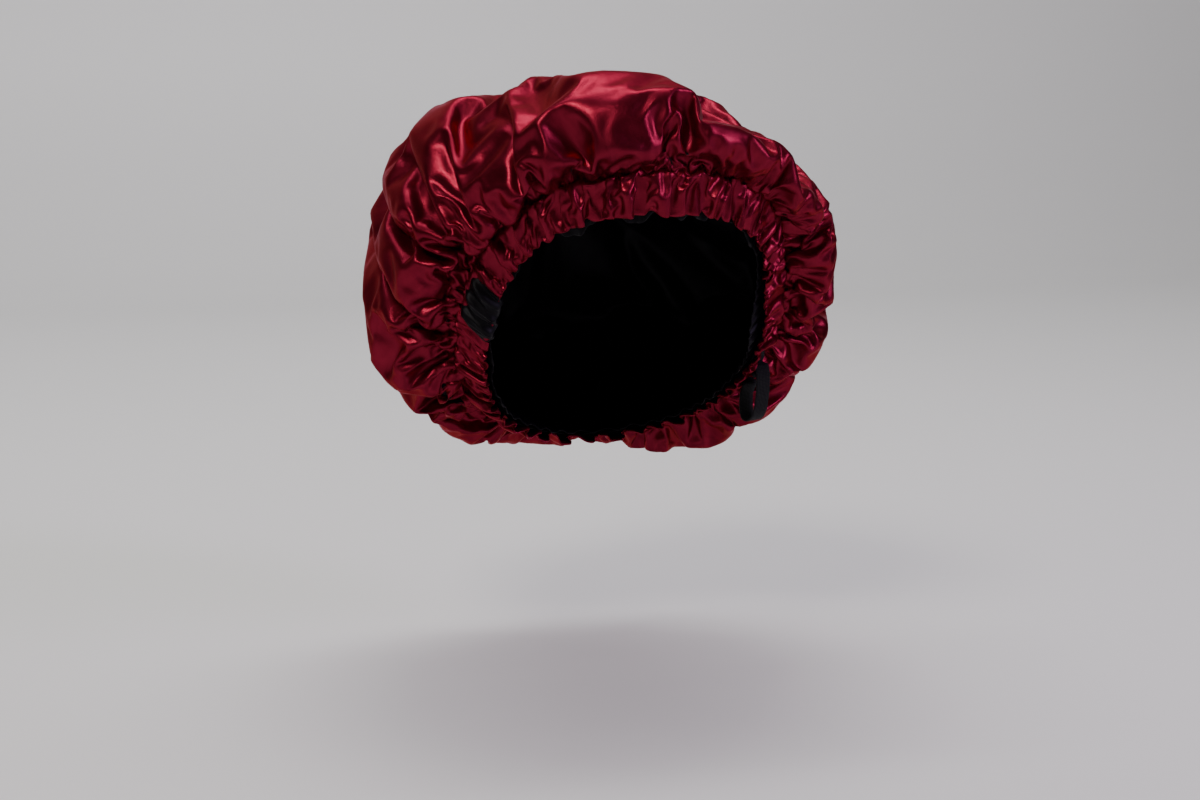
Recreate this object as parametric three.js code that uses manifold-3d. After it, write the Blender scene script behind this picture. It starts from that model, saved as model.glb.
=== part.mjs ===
// A satin sleep bonnet: a gathered double cap in burgundy with a black lining, drawn in by a flat
// elastic strap that runs in a stitched channel round the opening and hangs out of a slot in a loop.
// Millimetres, +Z up, -Y is where the wearer looks, and the origin is where the top of the head touches.
import * as THREE from "three";
import { mergeVertices } from "three/addons/utils/BufferGeometryUtils.js";
import Module from "manifold-3d";

// The cap is drawn round an axis that leans back from the face. A place on the cloth is a turn about
// that axis (0 at the forehead, 90 at the wearer's left ear) and a station: -1 at the edge, 0 at the
// gather line, 1 at the pole. Section points are [out from the axis, at along the axis].
const AXIS_FOOT = new THREE.Vector3(0, -21, -128);
const AXIS_LEAN = THREE.MathUtils.degToRad(52);
const POLE_AT = 154;
const CHANNEL_WIDTH = 20;
const CHANNEL_FLARE = THREE.MathUtils.degToRad(45);

const SECTIONS = [
  { turn: -150, rim: [83, -9], lip: [110, -9], belly: [130, 22], shoulder: [122, 88], top: [70, 144] },
  { turn: -120, rim: [71.5, -12], lip: [107, -14], belly: [134, 14], shoulder: [122, 82], top: [80, 140] },
  { turn: -90, rim: [70, -6], lip: [110, 6], belly: [127, 32], shoulder: [112, 88], top: [80, 132] },
  { turn: -60, rim: [75, 9], lip: [116, 18], belly: [124, 48], shoulder: [112, 92], top: [84, 118] },
  { turn: -30, rim: [88, 13], lip: [124, 22], belly: [130, 46], shoulder: [122, 78], top: [80, 104] },
  { turn: 0, rim: [96.5, 8.5], lip: [127, 17], belly: [136, 38], shoulder: [126, 62], top: [86, 100] },
  { turn: 30, rim: [88, 13], lip: [115, 15], belly: [121, 33], shoulder: [112, 58], top: [78, 98] },
  { turn: 60, rim: [75, 9], lip: [110, 11], belly: [118, 32], shoulder: [107, 65], top: [70, 102] },
  { turn: 90, rim: [70, -6], lip: [108, 4], belly: [127, 34], shoulder: [112, 80], top: [70, 116] },
  { turn: 120, rim: [71.5, -12], lip: [109, -19], belly: [132, 8], shoulder: [122, 76], top: [74, 132] },
  { turn: 150, rim: [83, -9], lip: [111, -13], belly: [134, 20], shoulder: [124, 88], top: [70, 144] },
  { turn: 180, rim: [94, -5], lip: [117, -1], belly: [138, 42], shoulder: [120, 102], top: [62, 148] },
];
const SECTION_STEP = 30;

// Large folds: puffs lift the cloth off the sections and creases (negative lift) draw it in.
// width is in degrees of turn, reach in station.
const FOLDS = [
  { turn: -27, station: 0.36, width: 7, reach: 0.22, lift: -8 },
  { turn: -15, station: 0.34, width: 8, reach: 0.14, lift: 6 },
  { turn: 13, station: 0.3, width: 7, reach: 0.14, lift: 3 },
  { turn: 26, station: 0.3, width: 7, reach: 0.2, lift: -7 },
  { turn: -50, station: 0.5, width: 12, reach: 0.16, lift: 5 },
  { turn: -82, station: 0.54, width: 6, reach: 0.14, lift: -6 },
  { turn: -97, station: 0.33, width: 8, reach: 0.12, lift: -5 },
  { turn: -110, station: 0.24, width: 10, reach: 0.12, lift: 6 },
  { turn: -118, station: 0.55, width: 9, reach: 0.2, lift: -6 },
  { turn: -147, station: 0.12, width: 7, reach: 0.12, lift: -7 },
  { turn: -168, station: 0.35, width: 9, reach: 0.2, lift: -6 },
  { turn: 55, station: 0.4, width: 7, reach: 0.18, lift: -5 },
  { turn: 71, station: 0.26, width: 8, reach: 0.14, lift: 5 },
  { turn: 92, station: 0.2, width: 7, reach: 0.12, lift: -6 },
  { turn: 118, station: 0.3, width: 8, reach: 0.18, lift: -5 },
  { turn: 140, station: 0.45, width: 9, reach: 0.2, lift: -6 },
  { turn: 165, station: 0.35, width: 9, reach: 0.2, lift: -6 },
];

// Pleats radiate from the gather line and fade into the cap. One pleat takes three mesh columns.
const PLEATS = 24;
const COLUMNS = 3 * PLEATS;
const PLEAT_DEPTH = 3.6;
const PLEAT_GROWTH = 0.05;
const PLEAT_FADE = 0.18;
const CROWN_ROWS = 12;
const CROWN_START = 0.03;
const ROW_CROWDING = 1.2;

// Layers, as distances outwards from the middle of the lining.
const LINING_HALF = 0.5;
const CLOTH_WALL = 1.2;
const LAYER_GAP = 0.7;
const LINING_STATIONS = [-1.09, -0.86, -0.4, 0];

// The channel's outer wall, from the edge to the stitches: it swells over the elastic and is ruffled.
const CHANNEL_SWELL = 1.3;
const CHANNEL_RUFFLE = 1.6;
const CHANNEL_ROWS = [
  { station: -1, swell: 0, ruffle: 0 },
  { station: -0.92, swell: 0.9, ruffle: 0.5 },
  { station: -0.54, swell: 1, ruffle: 1 },
  { station: -0.25, swell: 0.85, ruffle: 0.3 },
  { station: -0.2, swell: 0, ruffle: 0 },
];

// The flat elastic strap, and the loop of it that hangs out of the slot.
const STRAP_WIDTH = 11;
const STRAP_THICKNESS = 0.8;
const STRAP_OFFSET = 1.5;
const STRAP_STATION = -0.54;
const SLOT = { turn: 109, from: 101, to: 119, length: 37, width: 13.4, depth: 12 };
const LOOP_FACES = new THREE.Vector3(0.52, -0.854, 0);
const LOOP_SIDEWAYS = 2.4;
const LOOP = [
  { forward: 3.4, rise: 1.5 },
  { forward: 6.2, rise: 0.5 },
  { forward: 7.6, rise: -3.5 },
  { forward: 7.8, rise: -10 },
  { forward: 7.2, rise: -17 },
  { forward: 5.8, rise: -24 },
  { forward: 3.4, rise: -28 },
  { forward: 0.4, rise: -29.2 },
  { forward: -2.4, rise: -27.6 },
  { forward: -3.6, rise: -22 },
  { forward: -3.2, rise: -15 },
  { forward: -1.4, rise: -9 },
];

const COLOURS = {
  satin: { color: 0x6e0f22, roughness: 0.32, metalness: 0 },
  lining: { color: 0x0b0a0c, roughness: 0.38, metalness: 0 },
  elastic: { color: 0x0c0c0d, roughness: 0.8, metalness: 0 },
};

const AXIS = new THREE.Vector3(0, Math.cos(AXIS_LEAN), Math.sin(AXIS_LEAN));
const FRONT = new THREE.Vector3(0, -Math.sin(AXIS_LEAN), Math.cos(AXIS_LEAN));
const LEFT = new THREE.Vector3(1, 0, 0);
const DEGREE = THREE.MathUtils.DEG2RAD;

// Catmull-Rom value between b and c at fraction f.
function smooth(a, b, c, d, f) {
  const slope = (c - a) / 2;
  const nextSlope = (d - b) / 2;
  const cube = 2 * b - 2 * c + slope + nextSlope;
  const square = -3 * b + 3 * c - 2 * slope - nextSlope;
  return ((cube * f + square) * f + slope) * f + b;
}

function smoothPoint(points, k, f) {
  const [a, b, c, d] = points.slice(k, k + 4);
  return [0, 1].map((axis) => smooth(a[axis], b[axis], c[axis], d[axis], f));
}

// A named section point at any turn, smooth all the way round.
function sectionPoint(name, turn) {
  const place = (((turn - SECTIONS[0].turn) / SECTION_STEP) % 12 + 12) % 12;
  const row = Math.floor(place);
  const around = [11, 12, 13, 14].map((step) => SECTIONS[(row + step) % 12][name]);
  return smoothPoint(around, 0, place - row);
}

function channelPoint(turn, share) {
  const [out, at] = sectionPoint("rim", turn);
  const along = CHANNEL_WIDTH * share;
  return [out + along * Math.cos(CHANNEL_FLARE), at + along * Math.sin(CHANNEL_FLARE)];
}

// The section from the gather line to the pole as a dense line, with the length up to each point.
const sectionLines = new Map();
function sectionLine(turn) {
  const key = turn.toFixed(3);
  if (sectionLines.has(key)) return sectionLines.get(key);
  const gather = channelPoint(turn, 1);
  const lip = sectionPoint("lip", turn);
  const top = sectionPoint("top", turn);
  const before = [gather[0] + 0.6 * (gather[0] - lip[0]), gather[1] + 0.6 * (gather[1] - lip[1])];
  const knots = [
    before,
    gather,
    lip,
    sectionPoint("belly", turn),
    sectionPoint("shoulder", turn),
    top,
    [0, POLE_AT],
    [-top[0], top[1]],
  ];
  const steps = 16;
  const line = [{ point: gather, length: 0 }];
  for (let step = 1; step <= steps * (knots.length - 3); step++) {
    const knot = Math.min(Math.floor(step / steps), knots.length - 4);
    const point = smoothPoint(knots, knot, step / steps - knot);
    const last = line[line.length - 1];
    const stretch = Math.hypot(point[0] - last.point[0], point[1] - last.point[1]);
    line.push({ point, length: last.length + stretch });
  }
  sectionLines.set(key, line);
  return line;
}

function crownPoint(turn, share) {
  const line = sectionLine(turn);
  const wanted = share * line[line.length - 1].length;
  const next = Math.max(1, line.findIndex((entry) => entry.length >= wanted - 1e-9));
  const [a, b] = [line[next - 1], line[next]];
  const f = (wanted - a.length) / (b.length - a.length);
  return [0, 1].map((axis) => a.point[axis] + f * (b.point[axis] - a.point[axis]));
}

// The smooth cloth, before pleats and folds.
function smoothCloth(turn, station) {
  const [out, at] = station < 0 ? channelPoint(turn, 1 + station) : crownPoint(turn, station);
  return AXIS_FOOT.clone()
    .addScaledVector(FRONT, out * Math.cos(turn * DEGREE))
    .addScaledVector(LEFT, out * Math.sin(turn * DEGREE))
    .addScaledVector(AXIS, at);
}

function normalOf(surface, turn, station) {
  if (station > 0.999) return AXIS.clone();
  const round = surface(turn + 1, station).sub(surface(turn - 1, station));
  const along = surface(turn, Math.min(station + 0.01, 1)).sub(surface(turn, station - 0.01));
  return round.cross(along).normalize();
}

function pleatWave(turn) {
  return Math.cos(PLEATS * turn * DEGREE);
}

function pleatLift(turn, station) {
  const growth = Math.min(1, station / PLEAT_GROWTH);
  return PLEAT_DEPTH * growth * Math.exp(-station / PLEAT_FADE) * (1 - station) * pleatWave(turn);
}

function foldLift(turn, station) {
  let lift = 0;
  for (const fold of FOLDS) {
    const round = ((turn - fold.turn + 540) % 360) - 180;
    lift += fold.lift * Math.exp(-((round / fold.width) ** 2) - ((station - fold.station) / fold.reach) ** 2);
  }
  return lift;
}

// The draped cloth: the crown with its pleats and folds, and the smooth channel below it.
function drapedCloth(turn, station) {
  const point = smoothCloth(turn, station);
  if (station < 0 || station > 0.999) return point;
  const lift = pleatLift(turn, station) + foldLift(turn, station) * Math.min(1, station / 0.06);
  return point.addScaledVector(normalOf(smoothCloth, turn, station), lift);
}

// A closed wall between two offsets of the cloth, over the given stations. It closes at the pole when
// the last station is 1, and has an edge face at each open end.
function wall(stations, innerOffset, outerOffset) {
  const capped = stations[stations.length - 1] === 1;
  const openRows = capped ? stations.slice(0, -1) : stations;
  const positions = [];
  const index = [];
  for (const offset of [innerOffset, outerOffset])
    for (const station of openRows)
      for (let column = 0; column < COLUMNS; column++) {
        const turn = (360 * column) / COLUMNS;
        const normal = normalOf(drapedCloth, turn, station);
        const point = drapedCloth(turn, station).addScaledVector(normal, offset(turn, station));
        positions.push(...point.toArray());
      }
  const vertex = (layer, row, column) => (layer * openRows.length + row) * COLUMNS + (column % COLUMNS);
  const quad = (a, b, c, d) => index.push(a, c, b, a, d, c);
  for (let column = 0; column < COLUMNS; column++) {
    const next = column + 1;
    for (let row = 0; row < openRows.length - 1; row++) {
      quad(vertex(0, row, column), vertex(0, row, next), vertex(0, row + 1, next), vertex(0, row + 1, column));
      quad(vertex(1, row, column), vertex(1, row + 1, column), vertex(1, row + 1, next), vertex(1, row, next));
    }
    quad(vertex(0, 0, column), vertex(1, 0, column), vertex(1, 0, next), vertex(0, 0, next));
    const last = openRows.length - 1;
    if (!capped)
      quad(vertex(0, last, column), vertex(0, last, next), vertex(1, last, next), vertex(1, last, column));
  }
  if (capped)
    [innerOffset, outerOffset].forEach((offset, layer) => {
      const pole = positions.length / 3;
      positions.push(...drapedCloth(0, 1).addScaledVector(AXIS, offset(0, 1)).toArray());
      for (let column = 0; column < COLUMNS; column++) {
        const a = vertex(layer, openRows.length - 1, column);
        const b = vertex(layer, openRows.length - 1, column + 1);
        index.push(pole, layer ? a : b, layer ? b : a);
      }
    });
  return closedGeometry(positions, index);
}

function closedGeometry(positions, index) {
  const geometry = new THREE.BufferGeometry();
  geometry.setAttribute("position", new THREE.Float32BufferAttribute(positions, 3));
  geometry.setIndex(index);
  return geometry;
}

const crownStations = Array.from(
  { length: CROWN_ROWS + 1 },
  (_, row) => CROWN_START + (1 - CROWN_START) * (row / CROWN_ROWS) ** ROW_CROWDING,
);

const OUTER_LAYER = LINING_HALF + LAYER_GAP;

function crownGeometry() {
  return wall(
    crownStations,
    () => OUTER_LAYER,
    () => OUTER_LAYER + CLOTH_WALL,
  );
}

function liningGeometry() {
  return wall(
    [...LINING_STATIONS, ...crownStations],
    () => -LINING_HALF,
    () => LINING_HALF,
  );
}

function channelGeometry() {
  const offset = (turn, station) => {
    const row = CHANNEL_ROWS.find((entry) => entry.station === station);
    const ruffle = (1 + pleatWave(turn)) / 2;
    return OUTER_LAYER + CHANNEL_SWELL * row.swell + CHANNEL_RUFFLE * row.ruffle * ruffle;
  };
  const stations = CHANNEL_ROWS.map((row) => row.station);
  const whole = wall(stations, offset, (turn, station) => offset(turn, station) + CLOTH_WALL);
  return cut(whole, slotGeometry());
}

// The three directions of the channel at the slot: round the opening, across the channel, outwards.
function channelFrame(turn) {
  const across = smoothCloth(turn, -0.3).sub(smoothCloth(turn, -0.7)).normalize();
  const outwards = normalOf(smoothCloth, turn, STRAP_STATION);
  const round = across.clone().cross(outwards).normalize();
  return { round, across, outwards };
}

function strapPoint(turn) {
  const { outwards } = channelFrame(turn);
  return smoothCloth(turn, STRAP_STATION).addScaledVector(outwards, STRAP_OFFSET);
}

function slotGeometry() {
  const { round, across, outwards } = channelFrame(SLOT.turn);
  const box = new THREE.BoxGeometry(SLOT.length, SLOT.width, SLOT.depth);
  const centre = strapPoint(SLOT.turn).addScaledVector(outwards, 1.5);
  const place = new THREE.Matrix4().makeBasis(round, across, outwards).setPosition(centre);
  return box.applyMatrix4(place);
}

// The strap is one flat closed band: round inside the channel, and down and up again in the loop.
function strapGeometry() {
  const sections = [];
  const columnStep = 360 / COLUMNS;
  for (let turn = SLOT.to; turn <= SLOT.from + 360; turn += columnStep)
    sections.push({ centre: strapPoint(turn), across: channelFrame(turn).across });
  const loopAcross = new THREE.Vector3(0, 0, 1).cross(LOOP_FACES).normalize();
  const top = strapPoint(SLOT.turn).addScaledVector(loopAcross, LOOP_SIDEWAYS);
  for (const { forward, rise } of LOOP) {
    const centre = top.clone().addScaledVector(LOOP_FACES, forward);
    centre.z += rise;
    sections.push({ centre, across: loopAcross });
  }
  const positions = [];
  const index = [];
  const count = sections.length;
  sections.forEach(({ centre, across }, k) => {
    const ahead = sections[(k + 1) % count].centre.clone().sub(sections[(k + count - 1) % count].centre);
    const facing = across.clone().cross(ahead).normalize();
    const sideways = ahead.clone().cross(facing).normalize();
    for (const [w, t] of [[-1, -1], [1, -1], [1, 1], [-1, 1]]) {
      const corner = centre.clone().addScaledVector(sideways, (w * STRAP_WIDTH) / 2);
      positions.push(...corner.addScaledVector(facing, (t * STRAP_THICKNESS) / 2).toArray());
    }
  });
  for (let k = 0; k < count; k++)
    for (let side = 0; side < 4; side++) {
      const [a, b] = [4 * k + side, 4 * k + ((side + 1) % 4)];
      const [c, d] = [4 * ((k + 1) % count) + ((side + 1) % 4), 4 * ((k + 1) % count) + side];
      index.push(a, c, b, a, d, c);
    }
  return closedGeometry(positions, index);
}

const wasm = await Module();
wasm.setup();

function solid(geometry) {
  const bare = geometry.clone();
  bare.deleteAttribute("normal");
  bare.deleteAttribute("uv");
  const merged = mergeVertices(bare, 1e-4);
  const vertProperties = merged.attributes.position.array;
  return new wasm.Manifold(
    new wasm.Mesh({ numProp: 3, vertProperties, triVerts: new Uint32Array(merged.index.array) }),
  );
}

function cut(geometry, tool) {
  const mesh = solid(geometry).subtract(solid(tool)).getMesh();
  return closedGeometry(Array.from(mesh.vertProperties), Array.from(mesh.triVerts));
}

function piece(name, geometry, finish) {
  geometry.computeVertexNormals();
  const mesh = new THREE.Mesh(geometry, new THREE.MeshStandardMaterial(finish));
  mesh.name = name;
  return mesh;
}

const bonnet = new THREE.Group();
bonnet.add(piece("crown", crownGeometry(), COLOURS.satin));
bonnet.add(piece("elastic_channel", channelGeometry(), COLOURS.satin));
bonnet.add(piece("lining", liningGeometry(), COLOURS.lining));
bonnet.add(piece("elastic_strap", strapGeometry(), COLOURS.elastic));

export default bonnet;
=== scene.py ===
import math

import bmesh
import bpy
import numpy as np
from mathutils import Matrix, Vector
from mathutils.bvhtree import BVHTree


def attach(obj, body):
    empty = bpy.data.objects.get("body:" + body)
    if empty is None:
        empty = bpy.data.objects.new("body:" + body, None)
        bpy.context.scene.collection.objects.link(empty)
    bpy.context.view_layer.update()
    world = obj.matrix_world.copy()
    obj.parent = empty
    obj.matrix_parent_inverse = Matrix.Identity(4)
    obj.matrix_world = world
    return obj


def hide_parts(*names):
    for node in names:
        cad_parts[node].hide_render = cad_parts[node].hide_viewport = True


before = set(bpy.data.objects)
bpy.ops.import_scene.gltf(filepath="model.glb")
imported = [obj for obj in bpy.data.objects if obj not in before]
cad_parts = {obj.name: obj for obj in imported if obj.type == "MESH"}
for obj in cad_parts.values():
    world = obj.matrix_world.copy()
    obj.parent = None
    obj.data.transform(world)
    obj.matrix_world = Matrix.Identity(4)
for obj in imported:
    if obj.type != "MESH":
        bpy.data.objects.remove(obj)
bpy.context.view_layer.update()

MM = 0.001

# ---------------------------------------------------------------------------------------------
# The form, in millimetres, as the CAD model is drawn: a place on the cloth is a turn about an axis
# that leans back from the face (0 at the forehead, 90 at the wearer's left ear) and a station
# (-1 at the edge, 0 at the gather line, 1 at the pole). Columns: out from the axis, at along it.
# ---------------------------------------------------------------------------------------------
AXIS_FOOT = np.array([0.0, -21.0, -128.0])
AXIS_LEAN = math.radians(52)
AXIS = np.array([0.0, math.cos(AXIS_LEAN), math.sin(AXIS_LEAN)])
FRONT = np.array([0.0, -math.sin(AXIS_LEAN), math.cos(AXIS_LEAN)])
LEFT = np.array([1.0, 0.0, 0.0])
POLE_AT = 154.0
CHANNEL_WIDTH = 20.0
CHANNEL_FLARE = math.radians(45)
CHANNEL_WAY = np.array([math.cos(CHANNEL_FLARE), math.sin(CHANNEL_FLARE)])
SECTION_STEP = 30
SECTION_NAMES = ("rim", "lip", "belly", "shoulder", "top")
SECTIONS = [  # turn, then out and at of rim, lip, belly, shoulder and top
    (-150, (83, -9), (110, -9), (130, 22), (122, 88), (70, 144)),
    (-120, (71.5, -12), (107, -14), (134, 14), (122, 82), (80, 140)),
    (-90, (70, -6), (110, 6), (127, 32), (112, 88), (80, 132)),
    (-60, (75, 9), (116, 18), (124, 48), (112, 92), (84, 118)),
    (-30, (88, 13), (124, 22), (130, 46), (122, 78), (80, 104)),
    (0, (96.5, 8.5), (127, 17), (136, 38), (126, 62), (86, 100)),
    (30, (88, 13), (115, 15), (121, 33), (112, 58), (78, 98)),
    (60, (75, 9), (110, 11), (118, 32), (107, 65), (70, 102)),
    (90, (70, -6), (108, 4), (127, 34), (112, 80), (70, 116)),
    (120, (71.5, -12), (109, -19), (132, 8), (122, 76), (74, 132)),
    (150, (83, -9), (111, -13), (134, 20), (124, 88), (70, 144)),
    (180, (94, -5), (117, -1), (138, 42), (120, 102), (62, 148)),
]
TABLE_STATIONS = 200
KNOT_STEPS = 16  # places from one knot of a section to the next
RUN_ON = 0.6  # how far a section is carried past the gather line, for its slope there
POLE_STATION = 0.999


def smooth(a, b, c, d, f):
    """Catmull-Rom value between b and c at fraction f."""
    return 0.5 * (2 * b + (c - a) * f + (2 * a - 5 * b + 4 * c - d) * f**2 + (3 * b - a - 3 * c + d) * f**3)


def section_points(turn):
    """rim, lip, belly, shoulder and top at any turn, smooth all the way round."""
    place = (turn - SECTIONS[0][0]) / SECTION_STEP % len(SECTIONS)
    row = int(place)
    around = [np.array(SECTIONS[(row + step) % len(SECTIONS)][1:], float) for step in (-1, 0, 1, 2)]
    return dict(zip(SECTION_NAMES, smooth(*around, place - row)))


def section_line(turn):
    """The section from the gather line to the pole at even lengths, and its whole length."""
    points = section_points(turn)
    gather = points["rim"] + CHANNEL_WIDTH * CHANNEL_WAY
    top = points["top"]
    knots = np.array([gather + RUN_ON * (gather - points["lip"]), gather, points["lip"], points["belly"],
                      points["shoulder"], top, (0, POLE_AT), (-top[0], top[1])])
    f = np.linspace(0, 1, KNOT_STEPS, endpoint=False)[:, None]
    line = np.vstack([smooth(*knots[k:k + 4], f) for k in range(len(knots) - 3)] + [knots[-2:-1]])
    length = np.concatenate([[0], np.cumsum(np.linalg.norm(np.diff(line, axis=0), axis=1))])
    even = np.linspace(0, length[-1], TABLE_STATIONS + 1)
    return np.stack([np.interp(even, length, line[:, k]) for k in (0, 1)], 1), length[-1]


SECTION_LINES, SECTION_LENGTHS = zip(*(section_line(turn) for turn in range(360)))
SECTION_TABLE = np.array(SECTION_LINES)
SECTION_LENGTHS = np.array(SECTION_LENGTHS)
RIM_TABLE = np.array([section_points(turn)["rim"] for turn in range(360)])


def round_lookup(values, turn):
    """A value known at whole degrees, at any turn."""
    low = np.floor(turn).astype(int)
    f = (turn - low).reshape(turn.shape + (1,) * (values.ndim - 1))
    return values[low % 360] * (1 - f) + values[(low + 1) % 360] * f


def to_space(turn, out_at):
    """Points in mm, from turns and from distances out from the axis and along it."""
    u = np.radians(turn)[:, None]
    return AXIS_FOOT + out_at[:, :1] * (np.cos(u) * FRONT + np.sin(u) * LEFT) + out_at[:, 1:] * AXIS


def smooth_cloth(turn, station):
    """Points of the cloth before pleats and folds; turn and station are arrays."""
    turn, station = np.broadcast_arrays(np.asarray(turn, float), np.asarray(station, float))
    place = np.clip(station, 0, 1) * TABLE_STATIONS
    low = np.minimum(place.astype(int), TABLE_STATIONS - 1)
    column = np.floor(turn).astype(int)
    f, g = (turn - column)[:, None], (place - low)[:, None]
    a, b = column % 360, (column + 1) % 360
    crown = ((SECTION_TABLE[a, low] * (1 - f) + SECTION_TABLE[b, low] * f) * (1 - g)
             + (SECTION_TABLE[a, low + 1] * (1 - f) + SECTION_TABLE[b, low + 1] * f) * g)
    channel = round_lookup(RIM_TABLE, turn) + CHANNEL_WIDTH * (1 + station)[:, None] * CHANNEL_WAY
    return to_space(turn, np.where(station[:, None] < 0, channel, crown))


def cloth_frame(turn, station):
    """Point, direction round the opening, direction towards the pole, and outward normal."""
    turn, station = np.broadcast_arrays(np.asarray(turn, float), np.asarray(station, float))
    point = smooth_cloth(turn, station)
    round_way = smooth_cloth(turn + 1, station) - smooth_cloth(turn - 1, station)
    along = smooth_cloth(turn, np.minimum(station + 0.01, 1)) - smooth_cloth(turn, station - 0.01)
    normal = np.cross(round_way, along)
    normal[station > POLE_STATION] = AXIS
    return point, unit(round_way), unit(along), unit(normal)


def unit(vectors):
    return vectors / np.maximum(np.linalg.norm(vectors, axis=-1, keepdims=True), 1e-9)


def smooth_step(low, high, x):
    """0 up to low and 1 from high on, with a smooth rise between."""
    f = np.clip((x - low) / (high - low), 0, 1)
    return f * f * (3 - 2 * f)


def bell(x, middle, spread):
    """1 at the middle, falling smoothly to 0 on both sides."""
    return np.exp(-(((x - middle) / spread) ** 2))


def turn_gap(turn, middle):
    """Degrees from middle round to turn, from -180 to 180."""
    return (turn - middle + 180) % 360 - 180


# ---------------------------------------------------------------------------------------------
# Camera, floor and light
# ---------------------------------------------------------------------------------------------
CAMERA_TARGET = Vector((-0.006, 0.0016, -0.164))
CAMERA_AZIMUTH, CAMERA_ELEVATION, CAMERA_DISTANCE = math.radians(-15), math.radians(8.5), 1.05
LENS, SENSOR_WIDTH = 60.6, 36  # mm
FLOOR_Z = -0.315
ROOM_LIGHT = 0.03


def look_at(thing, place, target):
    thing.location = place
    thing.rotation_mode = "QUATERNION"
    thing.rotation_quaternion = (Vector(target) - Vector(place)).to_track_quat("-Z", "Y")


def make_camera():
    data = bpy.data.cameras.new("camera")
    data.lens, data.sensor_width = LENS, SENSOR_WIDTH
    camera = bpy.data.objects.new("camera", data)
    bpy.context.collection.objects.link(camera)
    back = Vector((math.sin(CAMERA_AZIMUTH) * math.cos(CAMERA_ELEVATION),
                   -math.cos(CAMERA_AZIMUTH) * math.cos(CAMERA_ELEVATION), math.sin(CAMERA_ELEVATION)))
    look_at(camera, CAMERA_TARGET + back * CAMERA_DISTANCE, CAMERA_TARGET)
    bpy.context.scene.camera = camera


def make_light(name, place, target, size, power, colour):
    data = bpy.data.lights.new(name, "AREA")
    data.shape, data.size, data.size_y = "RECTANGLE", *size
    data.energy, data.color = power, colour
    light = bpy.data.objects.new(name, data)
    bpy.context.collection.objects.link(light)
    look_at(light, place, target)


def make_stage():
    half, wall_y, curve = 6.0, 2.6, 0.6
    profile = [(-half, FLOOR_Z), (wall_y - curve, FLOOR_Z)]
    for degrees in range(15, 91, 15):
        a = math.radians(degrees)
        profile.append((wall_y - curve + curve * math.sin(a), FLOOR_Z + curve * (1 - math.cos(a))))
    profile.append((wall_y, 4.0))
    vertices = [(x, y, z) for y, z in profile for x in (-half, half)]
    faces = [(2 * k, 2 * k + 1, 2 * k + 3, 2 * k + 2) for k in range(len(profile) - 1)]
    paint = bpy.data.materials.new("floor_paint")
    paint.use_nodes = True
    tree = paint.node_tree
    shader = tree.nodes["Principled BSDF"]
    shader.inputs["Roughness"].default_value = 0.55
    grain = add_node(tree, "ShaderNodeTexNoise", Scale=3.0, Detail=4.0)
    colours = add_ramp(tree, grain.outputs["Fac"], (0.3, (0.74, 0.735, 0.73)), (0.7, (0.79, 0.785, 0.78)))
    tree.links.new(colours, shader.inputs["Base Color"])
    new_object("floor", vertices, faces, paint)
    world = bpy.data.worlds.new("room")
    bpy.context.scene.world = world
    world.use_nodes = True
    world.node_tree.nodes["Background"].inputs["Color"].default_value = (0.9, 0.92, 1.0, 1)
    world.node_tree.nodes["Background"].inputs["Strength"].default_value = ROOM_LIGHT
    middle = (0.0, 0.0, -0.1)
    make_light("key", (-0.85, -1.15, 1.15), middle, (0.55, 0.4), 18, (1.0, 0.93, 0.86))
    make_light("right", (1.2, -1.0, 0.5), middle, (0.35, 0.7), 12, (0.78, 0.6, 1.0))
    make_light("top", (0.1, 0.25, 1.4), middle, (0.7, 0.5), 7, (1.0, 0.97, 0.95))
    make_light("wall_light", (0, 0.4, 2.2), (0, 2.6, 0.6), (3.0, 0.8), 62, (1, 1, 1))


# ---------------------------------------------------------------------------------------------
# Materials
# ---------------------------------------------------------------------------------------------
def add_node(tree, kind, **inputs):
    node = tree.nodes.new(kind)
    for name, value in inputs.items():
        node.inputs[name.replace("_", " ")].default_value = value
    return node


def add_ramp(tree, source, *stops):
    ramp = tree.nodes.new("ShaderNodeValToRGB")
    for element, (place, colour) in zip(ramp.color_ramp.elements, stops):
        element.position, element.color = place, (*colour, 1)
    tree.links.new(source, ramp.inputs["Fac"])
    return ramp.outputs["Color"]


def add_map(tree, source, low, high):
    node = tree.nodes.new("ShaderNodeMapRange")
    node.inputs["To Min"].default_value, node.inputs["To Max"].default_value = low, high
    tree.links.new(source, node.inputs["Value"])
    return node.outputs["Result"]


# How much smoother and rougher than the mean the floats of the weave are.
FLOATS_SMOOTHER, FLOATS_ROUGHER = 0.13, 0.11


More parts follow.
